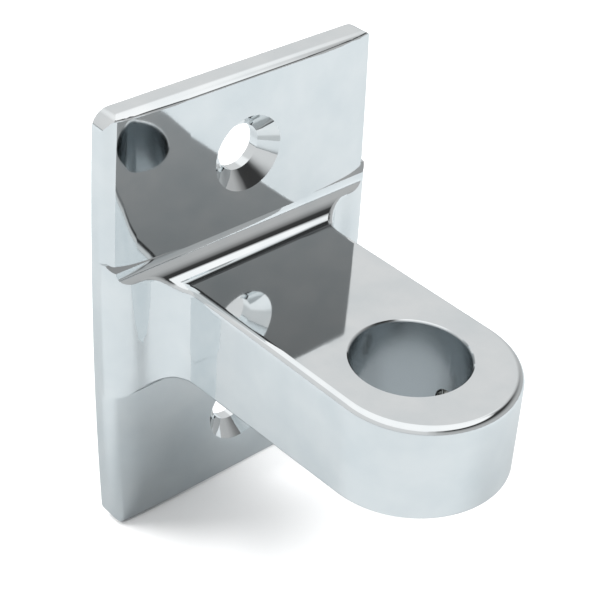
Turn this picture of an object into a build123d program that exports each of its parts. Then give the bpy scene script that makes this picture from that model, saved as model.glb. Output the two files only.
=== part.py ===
"""Side-mount stanchion base: one polished casting and the set screw that grips the tube.

Frame: X across the wall plate, Y into the wall, Z up. The origin is the centre of
the plate's back face, so the wall is the plane y = 0 and the arm points along -Y.
All sizes are in millimetres.
"""
from build123d import *
import math
import os

# ---------------------------------------------------------------- driving dimensions
plate_height = 95.0
plate_width = 63.5           # across the top and the bottom edge
side_bow = 1.1               # how far each long side swells out at mid height
plate_thickness = 5.4        # in the flat middle of the front face
corner_radius = 3.6
side_edge_radius = 2.4       # soft rounding of the two long front edges

flat_half_width = 14.0       # the polished face is flat this far from the centre line
roll_middle = 26.0           # then it rolls off, gently to here and faster beyond
roll_middle_drop = 0.3
side_roll_drop = 1.25        # total drop at the bowed side

crown_depth = 3.0            # front part of the top and bottom edges, eased forwards
crown_drop = 0.8
end_edge_radius = 0.5        # crisp line between that crown and the front face

arm_width = 37.2
arm_top = 10.5
arm_underside_root = -11.5   # underside close to the plate
arm_underside_nose = -10.2   # underside at the start of the round nose
arm_projection = 73.3        # nose tip from the wall
arm_edge_radius = 1.5
underside_edge_radius = 0.6
root_fillet = 5.2            # concave fillet between the arm's top and the plate

band_front = 6.4             # raised band across the plate, at the arm's root
band_bottom = -13.4
band_edge_radius = 0.8       # rounding of the band's lower edge
band_flat_half_width = 27.0
band_roll_drop = 2.3         # the band eases back until its two ends are flush
flare_radius = 7.0           # upright fillets between the arm's sides and the band
under_fillet = 5.0           # concave fillet between the arm's underside and the band
ramp_height = 1.6            # run-out of the upper root where the face rolls off

socket_radius = 11.2         # 22.4 mm bore for 7/8 inch (22.2 mm) tube
socket_from_wall = 52.0
socket_edge_break = 0.35

screw_hole_spacing = 61.4
screw_hole_radius = 4.8
screw_hole_land = 2.3        # straight part of the hole, next to the wall
countersink_radius = 7.9     # 90 degree countersink

grub_height = -5.2           # low in the socket, where it grips the tube's foot
grub_thread_radius = 2.5     # M5 socket set screw
grub_length = 6.0
grub_clearance = 0.05
grub_inset = 0.4             # how far the screw's end sits below the arm's side
grub_hex_flats = 2.5
grub_hex_depth = 2.4
grub_cup_radius = 1.3
grub_cup_depth = 0.7
grub_point_chamfer = 0.9
grub_end_chamfer = 0.4
tapped_hole_chamfer = 0.5

# ------------------------------------------------------------------- derived places
half_height = plate_height / 2
half_width = plate_width / 2
widest = half_width + side_bow
arm_half_width = arm_width / 2
nose_centre_y = arm_half_width - arm_projection
socket_y = -socket_from_wall
reach = 3.0                  # how far working solids run past the finished edges
sink = 0.02                  # how far the arm's root starts inside the plate's face
tolerance = 0.01
on_diagonal = math.sin(math.pi / 4)

# the concave fillet under the arm meets the band's front face above its rounding
under_rise = arm_underside_root - band_bottom - band_edge_radius
under_run = math.sqrt(under_fillet**2 - (under_fillet - under_rise) ** 2)
under_start_y = -band_front - under_run
underside_slope = (arm_underside_nose - arm_underside_root) / (
    under_start_y - nose_centre_y
)


def underside_z(y):
    """Height of the arm's sloping underside at a distance from the wall."""
    return arm_underside_root + underside_slope * (under_start_y - y)


# ---------------------------------------------------------- outlines and their prisms
def side_arc(side):
    """One long side of the plate, bowed outwards; side is 1 on the right, -1 left."""
    return ThreePointArc(
        (side * half_width, side * half_height),
        (side * widest, 0),
        (side * half_width, -side * half_height),
    )


def outline_prism(rounding, depth):
    """Front view of the plate, pulled out of the wall to a given depth."""
    with BuildPart() as prism:
        with BuildSketch(Plane.XZ) as sketch:
            with BuildLine():
                Line((-half_width, half_height), (half_width, half_height))
                side_arc(1)
                Line((half_width, -half_height), (-half_width, -half_height))
                side_arc(-1)
            make_face()
            if rounding > 0:
                fillet(sketch.vertices(), rounding)
        extrude(amount=depth)
    return prism.part


def face_prism():
    """Plan view of the plate: flat wall side, front face rolled off to both sides."""
    beyond = widest + reach
    with BuildPart() as prism:
        with BuildSketch(Plane.XY.offset(-half_height)):
            with BuildLine():
                Line((0, 0), (beyond, 0))
                Line((beyond, 0), (beyond, side_roll_drop - plate_thickness))
                Line(
                    (beyond, side_roll_drop - plate_thickness),
                    (widest, side_roll_drop - plate_thickness),
                )
                middle = (roll_middle, roll_middle_drop - plate_thickness)
                middle_slope = 2 * roll_middle_drop / (roll_middle - flat_half_width)
                TangentArc(
                    middle,
                    (widest, side_roll_drop - plate_thickness),
                    tangent=(1, middle_slope),
                )
                TangentArc((flat_half_width, -plate_thickness), middle, tangent=(1, 0))
                Line((flat_half_width, -plate_thickness), (0, -plate_thickness))
                mirror(about=Plane.YZ)
            make_face()
        extrude(amount=plate_height)
    return prism.part


def crown_prism():
    """Side view of the plate: the front part of both ends eased down towards the face."""
    crown_y = crown_depth - plate_thickness
    beyond_y = -plate_thickness - reach
    crown_middle = (crown_y - crown_depth / 2, half_height - crown_drop / 4)
    corner = (-plate_thickness, half_height - crown_drop)
    with BuildPart() as prism:
        with BuildSketch(Plane.YZ.offset(-half_width - reach)):
            with BuildLine():
                Line((0, 0), (0, half_height))
                Line((0, half_height), (crown_y, half_height))
                ThreePointArc((crown_y, half_height), crown_middle, corner)
                Line(corner, (beyond_y, half_height - crown_drop))
                Line((beyond_y, half_height - crown_drop), (beyond_y, 0))
                mirror(about=Plane.XZ)
            make_face()
        extrude(amount=2 * (half_width + reach))
    return prism.part


def plan_prism():
    """Plan view of the arm: band across the plate, upright fillets, round nose."""
    arc_end_x = arm_half_width + flare_radius
    arc_start = (arm_half_width, -band_front - flare_radius)
    arc_middle = (
        arc_end_x - flare_radius * on_diagonal,
        -band_front - flare_radius + flare_radius * on_diagonal,
    )
    nose_middle = (
        arm_half_width * on_diagonal,
        nose_centre_y - arm_half_width * on_diagonal,
    )
    band_end = (widest, band_roll_drop - band_front)
    beyond = widest + reach
    with BuildPart() as prism:
        with BuildSketch(Plane.XY.offset(-half_height)):
            with BuildLine():
                Line((0, 0), (beyond, 0))
                Line((beyond, 0), (beyond, band_end[1]))
                Line((beyond, band_end[1]), band_end)
                TangentArc(
                    (band_flat_half_width, -band_front), band_end, tangent=(1, 0)
                )
                Line((band_flat_half_width, -band_front), (arc_end_x, -band_front))
                ThreePointArc((arc_end_x, -band_front), arc_middle, arc_start)
                Line(arc_start, (arm_half_width, nose_centre_y))
                ThreePointArc(
                    (arm_half_width, nose_centre_y), nose_middle, (0, -arm_projection)
                )
                mirror(about=Plane.YZ)
            make_face()
        extrude(amount=plate_height)
    return prism.part


def arm_side_prism():
    """Side view of the arm and the band at its root.

    The concave root above the arm runs out on a shallow ramp inside the plate's face,
    so that it still meets the face where that rolls off towards the long sides.
    """
    face_y = sink - plate_thickness
    ramp_y = face_y + side_roll_drop
    top_end = arm_top + root_fillet
    ramp_top = top_end + ramp_height
    turn = 1 - on_diagonal
    tip_y = -arm_projection - reach
    edge_turn = band_edge_radius * turn
    under_middle_angle = math.asin(under_run / under_fillet) / 2
    under_middle = (
        under_start_y + under_fillet * math.sin(under_middle_angle),
        arm_underside_root - under_fillet * (1 - math.cos(under_middle_angle)),
    )
    with BuildPart() as prism:
        with BuildSketch(Plane.YZ.offset(-half_width - reach)):
            with BuildLine():
                Line((0, band_bottom), (0, ramp_top))
                Line((0, ramp_top), (ramp_y, ramp_top))
                Line((ramp_y, ramp_top), (face_y, top_end))
                ThreePointArc(
                    (face_y, top_end),
                    (face_y - root_fillet * turn, arm_top + root_fillet * turn),
                    (face_y - root_fillet, arm_top),
                )
                Line((face_y - root_fillet, arm_top), (tip_y, arm_top))
                Line((tip_y, arm_top), (tip_y, underside_z(tip_y)))
                Line((tip_y, underside_z(tip_y)), (under_start_y, arm_underside_root))
                ThreePointArc(
                    (under_start_y, arm_underside_root),
                    under_middle,
                    (-band_front, band_bottom + band_edge_radius),
                )
                ThreePointArc(
                    (-band_front, band_bottom + band_edge_radius),
                    (edge_turn - band_front, band_bottom + edge_turn),
                    (band_edge_radius - band_front, band_bottom),
                )
                Line((band_edge_radius - band_front, band_bottom), (0, band_bottom))
            make_face()
        extrude(amount=2 * (half_width + reach))
    return prism.part


# ------------------------------------------------------------------------- openings
def screw_hole(z):
    """Countersunk hole for a flat-head screw, cut from the wall side out."""
    cone_height = plate_thickness - screw_hole_land
    hole_axis = Plane(origin=(0, 0, z), x_dir=(1, 0, 0), z_dir=(0, -1, 0))
    cone_slope = (countersink_radius - screw_hole_radius) / cone_height
    tall_cone = cone_height + reach
    straight = Cylinder(screw_hole_radius, plate_thickness * 3)
    cone = Cone(
        screw_hole_radius,
        screw_hole_radius + cone_slope * tall_cone,
        tall_cone,
        align=(Align.CENTER, Align.CENTER, Align.MIN),
    )
    return hole_axis * (straight + Pos(0, 0, screw_hole_land) * cone)


def socket():
    """Vertical bore for the tube, with its sharp edges broken."""
    height = arm_top - arm_underside_root
    bore = Pos(0, socket_y, 0) * Cylinder(socket_radius, 3 * height)
    lip = Cone(
        socket_radius,
        socket_radius + 2 * socket_edge_break,
        2 * socket_edge_break,
        align=(Align.CENTER, Align.CENTER, Align.MIN),
    )
    return bore + Pos(0, socket_y, arm_top - socket_edge_break) * lip


def tapped_hole():
    """Hole for the set screw, through the arm's right side into the socket."""
    hole_axis = Plane(origin=(0, socket_y, grub_height), z_dir=(1, 0, 0))
    depth = arm_half_width + reach
    hole = Cylinder(
        grub_thread_radius + grub_clearance,
        depth,
        align=(Align.CENTER, Align.CENTER, Align.MIN),
    )
    mouth = Cone(
        grub_thread_radius + grub_clearance,
        grub_thread_radius + grub_clearance + 2 * tapped_hole_chamfer,
        2 * tapped_hole_chamfer,
        align=(Align.CENTER, Align.CENTER, Align.MIN),
    )
    return hole_axis * (hole + Pos(0, 0, arm_half_width - tapped_hole_chamfer) * mouth)


# -------------------------------------------------------------------------- pieces
def long_side_edges(solid):
    """The long edges down the two outer sides of a solid, at its front."""
    return [
        edge
        for edge in solid.edges()
        if abs(edge.center().X) > half_width and edge.center().Y < -reach
        and edge.length > plate_height / 4
    ]


def arm_top_edges(solid):
    """Outer edges of the arm's flat top: both upright fillets, both sides, the nose."""
    return [
        edge
        for edge in solid.edges()
        if abs(edge.center().Z - arm_top) < tolerance
        and edge.center().Y < -plate_thickness - root_fillet - tolerance
        and (edge.geom_type == GeomType.CIRCLE or abs(edge.center().X) > tolerance)
    ]


def arm_underside_edges(solid):
    """Outer edges of the arm's underside: both sides and the nose."""
    return [
        edge
        for edge in solid.edges()
        if edge.center().Z < arm_underside_nose + reach
        and edge.center().Y < under_start_y - flare_radius
        and edge.length > arm_half_width
    ]


def plate_end_edges(solid):
    """Front edges of the plate's top and bottom, where the crown meets the flat face."""
    return [
        edge
        for edge in solid.edges()
        if abs(edge.center().X) < tolerance
        and abs(edge.center().Y + plate_thickness) < tolerance
        and abs(edge.center().Z) > half_height - reach
    ]


def make_plate():
    """Wall plate: bowed outline, face rolled off sideways, softened long edges."""
    plate = outline_prism(0, plate_thickness + reach) & face_prism()
    plate = fillet(long_side_edges(plate), side_edge_radius)
    plate = plate & crown_prism() & outline_prism(corner_radius, plate_thickness + reach)
    return fillet(plate_end_edges(plate), end_edge_radius)


def make_arm():
    """Arm and band, trimmed to the plate's outline, with the band's ends softened."""
    arm = arm_side_prism() & plan_prism()
    arm = arm & outline_prism(0, arm_projection + reach)
    inside_plate = plate_thickness / 2
    reach_out = arm_projection + reach
    middle = Pos(0, -inside_plate - reach_out / 2, 0) * Box(
        2 * (arm_half_width + flare_radius) + side_bow, reach_out, plate_height
    )
    band_ends = fillet(long_side_edges(arm), side_edge_radius) - middle
    arm = arm & middle
    arm = fillet(arm_top_edges(arm), arm_edge_radius)
    arm = fillet(arm_underside_edges(arm), underside_edge_radius)
    return arm, band_ends


def make_casting():
    """Wall plate, band, arm and socket, poured as one piece."""
    arm, band_ends = make_arm()
    casting = make_plate() + arm + band_ends
    casting -= screw_hole(screw_hole_spacing / 2)
    casting -= screw_hole(-screw_hole_spacing / 2)
    casting -= socket()
    casting -= tapped_hole()
    return casting


def make_set_screw():
    """M5 hexagon socket set screw with a cup point, its socket facing outwards."""
    body = Cylinder(
        grub_thread_radius,
        grub_length,
        align=(Align.CENTER, Align.CENTER, Align.MAX),
    )
    outer_end = body.edges().filter_by(GeomType.CIRCLE).sort_by(Axis.Z)[-1]
    body = chamfer(outer_end, grub_end_chamfer)
    tip = body.edges().filter_by(GeomType.CIRCLE).sort_by(Axis.Z)[0]
    body = chamfer(tip, grub_point_chamfer)
    hexagon = RegularPolygon(grub_hex_flats / 2, 6, major_radius=False)
    body -= Pos(0, 0, -grub_hex_depth) * extrude(hexagon, amount=grub_length)
    cup = Cone(
        grub_cup_radius,
        0.1,
        grub_cup_depth,
        align=(Align.CENTER, Align.CENTER, Align.MIN),
    )
    body -= Pos(0, 0, -grub_length) * cup
    outer_x = arm_half_width - grub_inset
    place = Plane(origin=(outer_x, socket_y, grub_height), x_dir=(0, 1, 0), z_dir=(1, 0, 0))
    return place * body


os.makedirs("parts", exist_ok=True)
pieces = {"bracket_casting": make_casting(), "set_screw": make_set_screw()}
for name, piece in pieces.items():
    export_step(piece, f"parts/{name}.step")
    print(name, "volume", round(piece.volume, 1), "mm3, solids", len(piece.solids()))
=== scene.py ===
# %% [markdown]
# # A side-mount stanchion base in mirror chrome
#
# A stanchion base holds the foot of a rail tube on a boat. This one is screwed to an
# upright wall: a bowed wall plate with two countersunk holes, a thick arm with a round
# nose, an upright socket for the tube, and a small set screw that grips the tube.
#
# The shapes are already modelled in CAD. They are loaded first and stay where they are,
# so this lesson is about the studio and the finishes. Mirror chrome has hardly any
# colour of its own: it looks right only when the studio around it looks right.

# %% Load the frame
import math

import bpy
from mathutils import Matrix, Vector


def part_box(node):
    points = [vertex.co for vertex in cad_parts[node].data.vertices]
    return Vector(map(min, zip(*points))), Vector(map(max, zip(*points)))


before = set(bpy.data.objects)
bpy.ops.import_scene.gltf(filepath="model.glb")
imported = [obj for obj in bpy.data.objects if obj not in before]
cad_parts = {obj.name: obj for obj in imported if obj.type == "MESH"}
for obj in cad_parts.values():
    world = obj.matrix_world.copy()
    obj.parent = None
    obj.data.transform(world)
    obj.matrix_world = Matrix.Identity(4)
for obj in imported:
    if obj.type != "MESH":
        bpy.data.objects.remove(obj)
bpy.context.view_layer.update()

MM = 0.001                   # sizes below are in millimetres, and Blender's are metres
casting_low, casting_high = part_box("bracket_casting")
screw_low, screw_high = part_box("set_screw")
print("casting, mm:", [round(v / MM, 2) for v in (*casting_low, *casting_high)])
print("set screw, mm:", [round(v / MM, 2) for v in (*screw_low, *screw_high)])

# %% [markdown]
# ## Camera
#
# A product view of a bracket is taken from above one front corner with a long lens, so
# that parallel edges stay nearly parallel. The camera could be placed by hand, but an
# azimuth, an elevation and a distance are easier to understand and to change. It leans
# over by a few degrees, which makes the plate seem to lean back.

# %% Camera
CAMERA_AZIMUTH = 43.19       # degrees round from straight in front, towards the left
CAMERA_ELEVATION = 35.06     # degrees above the level of the plate's centre
CAMERA_LEAN = 3.52           # degrees, clockwise
CAMERA_DISTANCE = 325.4 * MM
CAMERA_LENS = 96.5           # millimetres
SENSOR_WIDTH = 36            # millimetres
NEAREST_SEEN = 10 * MM
AIM_RIGHT = 14.83 * MM       # the aimed point, across the picture from the plate's centre
AIM_UP = -5.15 * MM


def place_camera():
    """Puts the camera on its sphere round the plate and makes it the scene's camera."""
    azimuth, elevation, lean = (
        math.radians(v) for v in (CAMERA_AZIMUTH, CAMERA_ELEVATION, CAMERA_LEAN)
    )
    towards = Vector((-math.sin(azimuth), -math.cos(azimuth), math.tan(elevation)))
    towards.normalize()
    across = Vector((0, 0, 1)).cross(towards).normalized()
    upward = towards.cross(across)
    right = across * math.cos(lean) + upward * math.sin(lean)
    up = upward * math.cos(lean) - across * math.sin(lean)
    place = right * AIM_RIGHT + up * AIM_UP + towards * CAMERA_DISTANCE
    data = bpy.data.cameras.new("studio_camera")
    data.lens = CAMERA_LENS
    data.sensor_width = SENSOR_WIDTH
    data.clip_start = NEAREST_SEEN
    camera = bpy.data.objects.new("studio_camera", data)
    turned = Matrix((right, up, towards)).transposed().to_4x4()
    camera.matrix_world = Matrix.Translation(place) @ turned
    bpy.context.scene.collection.objects.link(camera)
    bpy.context.scene.camera = camera
    print("camera at, mm:", [round(v / MM, 1) for v in place])


place_camera()

# %% [markdown]
# ## Colours and nodes
#
# Colours are easy to read as sRGB hex values, but Blender's nodes work in linear light,
# so one function turns one into the other. A second one adds a node, sets it and links
# it in one call, so that each material below reads from top to bottom.

# %% Colour and node helpers
def from_hex(text):
    """Turns an sRGB hex colour into the linear colour that the nodes expect."""
    values = [int(text[i : i + 2], 16) / 255 for i in (1, 3, 5)]
    linear = [v / 12.92 if v <= 0.04045 else ((v + 0.055) / 1.055) ** 2.4 for v in values]
    return (*linear, 1.0)


def add_node(tree, kind, settings=None, links=None):
    """Adds one node: settings are its properties or input values, links feed inputs."""
    node = tree.nodes.new(kind)
    for name, value in (settings or {}).items():
        if isinstance(name, str) and hasattr(node, name):
            setattr(node, name, value)
        else:
            node.inputs[name].default_value = value
    for name, source in (links or {}).items():
        tree.links.new(source, node.inputs[name])
    return node


def new_material(name):
    """A new node material, with its node tree and its Principled shader."""
    material = bpy.data.materials.new(name)
    material.use_nodes = True
    tree = material.node_tree
    return material, tree, tree.nodes["Principled BSDF"]


print("mid grey in linear light:", [round(v, 3) for v in from_hex("#808080")])

# %% [markdown]
# ## What the chrome sees
#
# A studio for chrome is a tent: pale cloth all round with one dark board, so that the
# metal shows clean pale faces and one dark shape that explains its form. Lamps and
# boards could be modelled one by one, but a sky that is painted by direction gives the
# same reflections without stray edges. Its brightness depends on the elevation only,
# with one list for the side with the dark board (to the front right) and one for the
# rest. Each list pairs an elevation in degrees with a brightness.

# %% Studio sky
SKY_STRENGTH = 1.5           # a colour ramp stops at 1, and this brings its top up to 1.5
DARK_BOARD_SIDE = [
    (0, 0.52), (20, 0.50), (28, 0.40), (33, 0.28), (37, 0.20),
    (41, 0.05), (50, 0.04), (54, 1.15), (90, 1.15),
]
PALE_SIDE = [(0, 0.75), (30, 0.78), (41, 0.78), (46, 1.1), (62, 1.15), (90, 1.15)]
BOARD_DIRECTION = math.radians(43)  # round from straight in front, towards the right
BOARD_EDGE = (0.1, 0.5)      # cosine of the angle to that direction, where it fades in


def brightness_by_height(tree, share, stops):
    """A ramp from the horizon to straight up, through pairs of degrees and brightness."""
    ramp = add_node(tree, "ShaderNodeValToRGB", links={"Fac": share})
    points = ramp.color_ramp.elements
    while len(points) < len(stops):
        points.new(0.5)
    for point, (degrees, level) in zip(points, stops):
        point.position = degrees / 90
        point.color = (*[level / SKY_STRENGTH] * 3, 1)
    return ramp.outputs["Color"]


def make_sky():
    """The tent and its dark board, as a background that depends on direction only."""
    world = bpy.data.worlds.new("studio_tent")
    bpy.context.scene.world = world
    world.use_nodes = True
    tree = world.node_tree
    tree.nodes.clear()
    direction = add_node(tree, "ShaderNodeTexCoord").outputs["Generated"]
    axes = add_node(tree, "ShaderNodeSeparateXYZ", links={"Vector": direction})
    angle = add_node(tree, "ShaderNodeMath", {"operation": "ARCSINE"},
                     {0: axes.outputs["Z"]})
    share = add_node(tree, "ShaderNodeMath", {"operation": "DIVIDE", 1: math.pi / 2},
                     {0: angle.outputs[0]}).outputs[0]
    to_board = Vector((math.sin(BOARD_DIRECTION), -math.cos(BOARD_DIRECTION), 0))
    facing = add_node(tree, "ShaderNodeVectorMath",
                      {"operation": "DOT_PRODUCT", 1: to_board}, {0: direction})
    on_board = add_node(
        tree, "ShaderNodeMapRange",
        {"From Min": BOARD_EDGE[0], "From Max": BOARD_EDGE[1],
         "interpolation_type": "SMOOTHSTEP"},
        {"Value": facing.outputs["Value"]},
    )
    both = add_node(tree, "ShaderNodeMix", {"data_type": "RGBA"}, {
        0: on_board.outputs[0],
        6: brightness_by_height(tree, share, PALE_SIDE),
        7: brightness_by_height(tree, share, DARK_BOARD_SIDE),
    })
    light = add_node(tree, "ShaderNodeBackground", {"Strength": SKY_STRENGTH},
                     {"Color": both.outputs[2]})
    add_node(tree, "ShaderNodeOutputWorld", links={"Surface": light.outputs[0]})
    print("sky nodes:", len(tree.nodes))


make_sky()
# the plain view keeps the pale tones of chrome as bright as they are
bpy.context.scene.view_settings.view_transform = "Standard"

# %% [markdown]
# ## Floor
#
# The base stands on white paper. Paper that is bright enough to look white would also
# fill the chrome with white, and the metal would lose its form. A photographer tones the
# reflection down with a grey card. Here the paper is hidden from reflections, and a grey
# card just above it is seen in reflections only.

# %% White paper and grey card
FLOOR_HALF = 3.0             # metres, far beyond the picture
CARD_RISE = 0.02 * MM        # the card lies on the paper
WHITE_PAPER = "#fafafa"
GREY_CARD = "#b0b4b6"
PAPER_ROUGHNESS = 0.9        # matt, with hardly any sheen
PAPER_SHEEN = 0.1


def plain_floor(name, rise, colour):
    """A large matt sheet below the casting, linked to the scene on its own."""
    z = casting_low.z + rise
    corners = [(x, y, z) for x, y in ((-1, -1), (1, -1), (1, 1), (-1, 1))]
    corners = [(x * FLOOR_HALF, y * FLOOR_HALF, z) for x, y, z in corners]
    mesh = bpy.data.meshes.new(name)
    mesh.from_pydata(corners, [], [(0, 1, 2, 3)])
    sheet = bpy.data.objects.new(name, mesh)
    bpy.context.scene.collection.objects.link(sheet)
    material, _, shader = new_material(name)
    shader.inputs["Base Color"].default_value = from_hex(colour)
    shader.inputs["Roughness"].default_value = PAPER_ROUGHNESS
    shader.inputs["Specular IOR Level"].default_value = PAPER_SHEEN
    mesh.materials.append(material)
    print(name, "at z, mm:", round(z / MM, 2))
    return sheet


paper = plain_floor("white_paper_floor", 0.0, WHITE_PAPER)
paper.visible_glossy = False
card = plain_floor("grey_reflection_card", CARD_RISE, GREY_CARD)
card.visible_camera = False
card.visible_diffuse = False
card.visible_shadow = False

# %% [markdown]
# ## Lamps
#
# Two large round lamps light the paper. The key lamp stands to the front right, so the
# arm's shadow falls low, by the plate's foot. The back lamp fills the shadow that the
# plate would leave behind it. Both are hidden from reflections, because the chrome
# should mirror the tent and the card, and not two round lamps.

# %% Lamps
LAMP_SIZE = 0.6              # metres across, large and soft
KEY_PLACE, KEY_POWER = (0.5, -0.7, 0.8), 13       # metres and watts
BACK_PLACE, BACK_POWER = (-0.5, 0.6, 0.8), 11


def soft_lamp(name, place, power):
    """A round lamp, aimed at the casting."""
    data = bpy.data.lights.new(name, "AREA")
    data.shape = "DISK"
    data.size = LAMP_SIZE
    data.energy = power
    lamp = bpy.data.objects.new(name, data)
    lamp.location = place
    lamp.rotation_euler = (-Vector(place)).to_track_quat("-Z", "Y").to_euler()
    lamp.visible_glossy = False
    bpy.context.scene.collection.objects.link(lamp)
    print(name, "distance, m:", round(Vector(place).length, 2))


soft_lamp("key_lamp", KEY_PLACE, KEY_POWER)
soft_lamp("back_lamp", BACK_PLACE, BACK_POWER)

# %% [markdown]
# ## Where the socket is
#
# The socket's wall is satin, and its colour is a darker grey that paints the shade deep
# in the bore. The finish has to know where the socket is. The wall's place comes from the
# casting's own axes: the socket stands upright, a known distance out from the wall.
# The result is a mask that is 1 on the socket's wall and 0 everywhere else.

# %% Socket mask
SOCKET_FROM_WALL = 52.0 * MM
SOCKET_RADIUS = 11.2 * MM
LIP_START = 0.05 * MM        # the wall's finish ends inside the broken edge of the lip
LIP_END = 0.25 * MM


def socket_mask(tree, place):
    """1 on the socket's wall and 0 outside its lip, from the distance to its axis."""
    axes = add_node(tree, "ShaderNodeSeparateXYZ", links={"Vector": place})
    along = add_node(tree, "ShaderNodeMath", {"operation": "ADD", 1: SOCKET_FROM_WALL},
                     {0: axes.outputs["Y"]})
    flat = add_node(tree, "ShaderNodeCombineXYZ",
                    links={"X": axes.outputs["X"], "Y": along.outputs[0]})
    radius = add_node(tree, "ShaderNodeVectorMath", {"operation": "LENGTH"},
                      {0: flat.outputs[0]})
    inside = add_node(
        tree, "ShaderNodeMapRange",
        {"From Min": SOCKET_RADIUS + LIP_END, "From Max": SOCKET_RADIUS + LIP_START},
        {"Value": radius.outputs["Value"]},
    )
    return inside.outputs[0]


print("socket wall, mm from its axis:", round(SOCKET_RADIUS / MM, 2))

# %% [markdown]
# ## Surface of polished metal
#
# The casting was ground and buffed by hand before it was plated. Buffing leaves long
# shallow waves that bend reflections a little, and handling leaves hairline scratches.
# Both could be painted, but noise at a real scale is the same from every side and has no
# seams. The waves are about 14 mm long. Real hairlines are some 0.02 mm wide, too fine
# to show, so they are drawn 0.25 mm wide and very faint.

# %% Buffing waves and hairlines
WAVE_LENGTH = 14 * MM
WAVE_DEPTH = 0.02 * MM
HAIRLINE_WIDTH = 0.25 * MM
HAIRLINE_SQUEEZE = (1 / 30, 1.0, 0.8)  # 30 times as long as wide, across the plate
HAIRLINE_CUT = (0.60, 0.72)  # noise below the first is plain, above the second a line
HAZE_SIZE = 9 * MM           # cloudy patches where the buff rested longer
HAZE_CUT = (0.35, 0.7)       # the noise that counts as clear, and as fully hazed


def buffing_waves(tree, place):
    """A normal that leans a little with the shallow waves."""
    waves = add_node(tree, "ShaderNodeTexNoise",
                     {"Scale": 1 / WAVE_LENGTH, "Detail": 1.0}, {"Vector": place})
    bump = add_node(tree, "ShaderNodeBump", {"Strength": 1.0, "Distance": WAVE_DEPTH},
                    {"Height": waves.outputs[0]})
    return bump.outputs["Normal"]


def hairlines(tree, place):
    """1 on a hairline and 0 between them: noise pulled out along the casting's width."""
    long = add_node(tree, "ShaderNodeVectorMath",
                    {"operation": "MULTIPLY", 1: HAIRLINE_SQUEEZE},
                    {0: place})
    grain = add_node(tree, "ShaderNodeTexNoise",
                     {"Scale": 1 / HAIRLINE_WIDTH, "Detail": 2.0},
                     {"Vector": long.outputs[0]})
    lines = add_node(tree, "ShaderNodeMapRange",
                     {"From Min": HAIRLINE_CUT[0], "From Max": HAIRLINE_CUT[1]},
                     {"Value": grain.outputs[0]})
    return lines.outputs[0]


def buffing_haze(tree, place):
    """Soft patches between 0 and 1."""
    haze = add_node(tree, "ShaderNodeTexNoise",
                    {"Scale": 1 / HAZE_SIZE, "Detail": 3.0}, {"Vector": place})
    spread = add_node(tree, "ShaderNodeMapRange",
                      {"From Min": HAZE_CUT[0], "From Max": HAZE_CUT[1]},
                      {"Value": haze.outputs[0]})
    return spread.outputs[0]


print("waves per metre:", round(1 / WAVE_LENGTH), "hairlines per metre:",
      round(1 / HAIRLINE_WIDTH))

# %% [markdown]
# ## Chrome plate
#
# The casting is bright decorative chrome: a brass or zinc body, buffed, then plated
# with nickel and a very thin layer of chromium. Chromium reflects a little more blue
# than red, which gives a cool, clean mirror. It is a metal, so metallic is 1, the IOR
# stays at its default and the base colour is the reflection itself. Roughness starts
# near zero, and haze and hairlines add a trace. The socket's wall is the same metal,
# made satin, and its colour is a darker grey that paints the shade deep in the bore.

# %% Chrome plate on the casting
CHROME = "#e9eced"
CHROME_HAZED = "#e0e5e7"
# painted shade: this darker grey on the socket's wall stands in for the shade deep in the
# bore
PAINTED_SOCKET_SHADE = "#a3a9ac"
MIRROR_ROUGHNESS = 0.035
HAZE_ROUGHNESS = 0.02        # added by haze and by hairlines
SATIN_ROUGHNESS = 0.24       # of the socket's wall


def chrome_plate():
    """Mirror chrome with buffing marks, and satin metal with painted shade inside the
    socket.
    """
    material, tree, shader = new_material("buffed_chrome_plate")
    shader.inputs["Metallic"].default_value = 1.0
    place = add_node(tree, "ShaderNodeTexCoord").outputs["Object"]
    inside = socket_mask(tree, place)
    haze = buffing_haze(tree, place)
    lines = hairlines(tree, place)
    outside_colour = add_node(
        tree, "ShaderNodeMix",
        {"data_type": "RGBA", 6: from_hex(CHROME), 7: from_hex(CHROME_HAZED)},
        {0: haze},
    )
    # the socket's wall takes the painted shade grey in place of the chrome colour
    colour = add_node(tree, "ShaderNodeMix",
                      {"data_type": "RGBA", 7: from_hex(PAINTED_SOCKET_SHADE)},
                      {0: inside, 6: outside_colour.outputs[2]})
    marks = add_node(tree, "ShaderNodeMath", {"operation": "ADD"}, {0: haze, 1: lines})
    rough = add_node(
        tree, "ShaderNodeMath",
        {"operation": "MULTIPLY_ADD", 1: HAZE_ROUGHNESS, 2: MIRROR_ROUGHNESS},
        {0: marks.outputs[0]},
    )
    either = add_node(tree, "ShaderNodeMix", {"data_type": "FLOAT", 3: SATIN_ROUGHNESS},
                      {0: inside, 2: rough.outputs[0]})
    tree.links.new(colour.outputs[2], shader.inputs["Base Color"])
    tree.links.new(either.outputs[0], shader.inputs["Roughness"])
    tree.links.new(buffing_waves(tree, place), shader.inputs["Normal"])
    print("chrome plate nodes:", len(tree.nodes))
    return material


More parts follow.
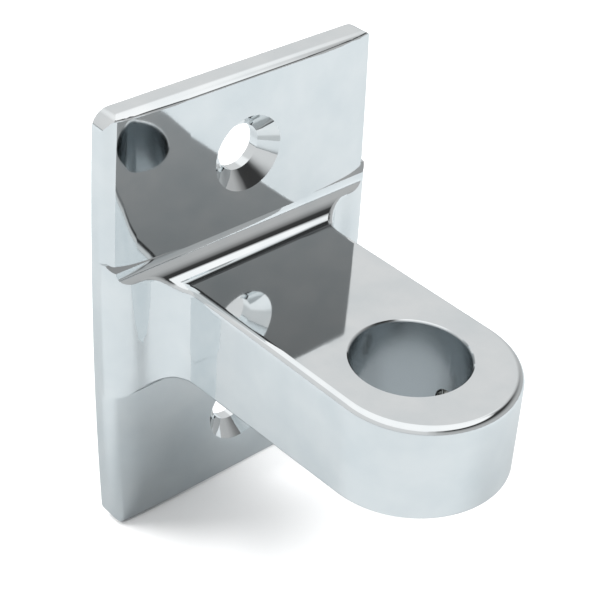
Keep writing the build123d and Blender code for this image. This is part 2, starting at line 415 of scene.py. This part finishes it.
# %% [markdown]
# ## Steel of the set screw
#
# The set screw is turned from stainless steel and left as it came off the lathe. Steel
# is a warmer and darker grey than chrome, and turning leaves fine rings round its axis,
# so its highlights are soft. The rings are about 0.1 mm apart, and are drawn 0.3 mm
# apart so that they show.

# %% Turned stainless steel
STEEL = "#b9b7b2"
STEEL_DULL = "#8f8d89"
RING_SPACING = 0.3 * MM
RING_DEPTH = 0.01 * MM
RING_WANDER = 0.6            # how far the rings stray from straight
STEEL_ROUGHNESS = (0.26, 0.42)  # on a ring's crest and in its groove


def turned_steel():
    """Turned stainless steel, with rings round the set screw's axis."""
    material, tree, shader = new_material("turned_stainless_steel")
    shader.inputs["Metallic"].default_value = 1.0
    place = add_node(tree, "ShaderNodeTexCoord").outputs["Object"]
    # one period of a wave texture is pi / 10 of its scaled unit
    rings = add_node(
        tree, "ShaderNodeTexWave",
        {"wave_type": "BANDS", "bands_direction": "X",
         "Scale": math.pi / 10 / RING_SPACING, "Distortion": RING_WANDER},
        {"Vector": place},
    ).outputs[1]
    colour = add_node(tree, "ShaderNodeMix",
                      {"data_type": "RGBA", 6: from_hex(STEEL_DULL), 7: from_hex(STEEL)},
                      {0: rings})
    rough = add_node(tree, "ShaderNodeMapRange",
                     {"To Min": STEEL_ROUGHNESS[1], "To Max": STEEL_ROUGHNESS[0]},
                     {"Value": rings})
    bump = add_node(tree, "ShaderNodeBump", {"Strength": 1.0, "Distance": RING_DEPTH},
                    {"Height": rings})
    tree.links.new(colour.outputs[2], shader.inputs["Base Color"])
    tree.links.new(rough.outputs[0], shader.inputs["Roughness"])
    tree.links.new(bump.outputs["Normal"], shader.inputs["Normal"])
    print("turned steel nodes:", len(tree.nodes))
    return material


# %% [markdown]
# ## Putting the finishes on
#
# Each piece from the CAD model keeps its mesh and its place, and only its material is
# exchanged.

# %% Finish the pieces
FINISHES = {"bracket_casting": chrome_plate(), "set_screw": turned_steel()}

for name, material in FINISHES.items():
    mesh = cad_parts[name].data
    mesh.materials.clear()
    mesh.materials.append(material)
    print(name, "is", material.name, "with", len(mesh.polygons), "faces")
